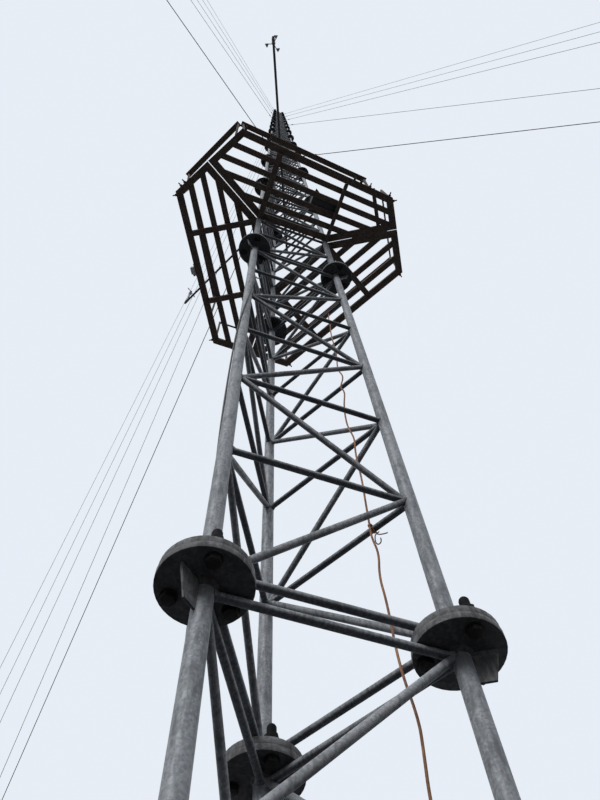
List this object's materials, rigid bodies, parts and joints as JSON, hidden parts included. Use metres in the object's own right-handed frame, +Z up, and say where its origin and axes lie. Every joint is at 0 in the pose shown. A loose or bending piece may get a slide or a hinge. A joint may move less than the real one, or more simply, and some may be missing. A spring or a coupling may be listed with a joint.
{
  "type": "guyed meteorological mast, 1:10 model",
  "caption": "Guyed triangular lattice mast with flanged tube legs, a grating platform, and booms that carry a cup anemometer and a wind vane, as a 1:10 model.",
  "frame": {"origin": "Middle of the footing's underside, on the ground.", "axes": "+Z up along the mast, +X from the left leg to the right leg, -Y out of the mast's front side."},
  "size_m": [8.573, 8.2162, 10.1],
  "materials": {
    "black_cable": "black sheath",
    "boom_tube": "grey tube",
    "box_paint": "dark paint",
    "concrete": "cast concrete; stands in for stone",
    "galvanised_steel": "dull galvanised",
    "guy_wire": "stranded wire, dull",
    "orange_cord": "faded rope",
    "pale_paint": "pale paint",
    "rotor_plastic": "black",
    "rusted_steel": "rusted, dark brown",
    "sensor_metal": "satin"
  },
  "bodies": {
    "mast": {"anchor_block_back": "concrete", "anchor_block_left": "concrete", "anchor_block_right": "concrete", "anchor_plate_back": "galvanised_steel", "anchor_plate_left": "galvanised_steel", "anchor_plate_right": "galvanised_steel", "anemometer_front": "sensor_metal", "boom_front": "boom_tube", "boom_left": "boom_tube", "bracing_front_lower": "galvanised_steel", "bracing_front_middle": "galvanised_steel", "bracing_front_upper": "galvanised_steel", "bracing_left_lower": "galvanised_steel", "bracing_left_middle": "galvanised_steel", "bracing_left_upper": "galvanised_steel", "bracing_right_lower": "galvanised_steel", "bracing_right_middle": "galvanised_steel", "bracing_right_upper": "galvanised_steel", "down_conductor": "black_cable", "edge_lamp": "pale_paint", "equipment_box": "box_paint", "footing": "concrete", "guy_back_high": "guy_wire", "guy_back_low": "guy_wire", "guy_back_middle": "guy_wire", "guy_left_high": "guy_wire", "guy_left_low": "guy_wire", "guy_left_middle": "guy_wire", "guy_right_high": "guy_wire", "guy_right_low": "guy_wire", "guy_right_middle": "guy_wire", "hanging_cord": "orange_cord", "leg_back": "galvanised_steel", "leg_left": "galvanised_steel", "leg_right": "galvanised_steel", "lightning_rod": "galvanised_steel", "platform_arms": "rusted_steel", "platform_front": "rusted_steel", "platform_left": "rusted_steel", "platform_right": "rusted_steel", "railing": "rusted_steel", "vane_post": "sensor_metal"},
    "front_rotor": {"cup_rotor_front": "rotor_plastic"},
    "vane": {"wind_vane": "rotor_plastic"}
  },
  "joints": [
    {"name": "front_rotor_spin", "type": "hinge", "parent": "mast", "child": "front_rotor", "pos_m": [-0.10783, -0.26273, 1.4179], "axis": [0, 0, 1], "continuous": true},
    {"name": "vane_turn", "type": "hinge", "parent": "mast", "child": "vane", "pos_m": [-0.12494, 0.20788, 1.5159], "axis": [0, 0, 1], "continuous": true}
  ]
}
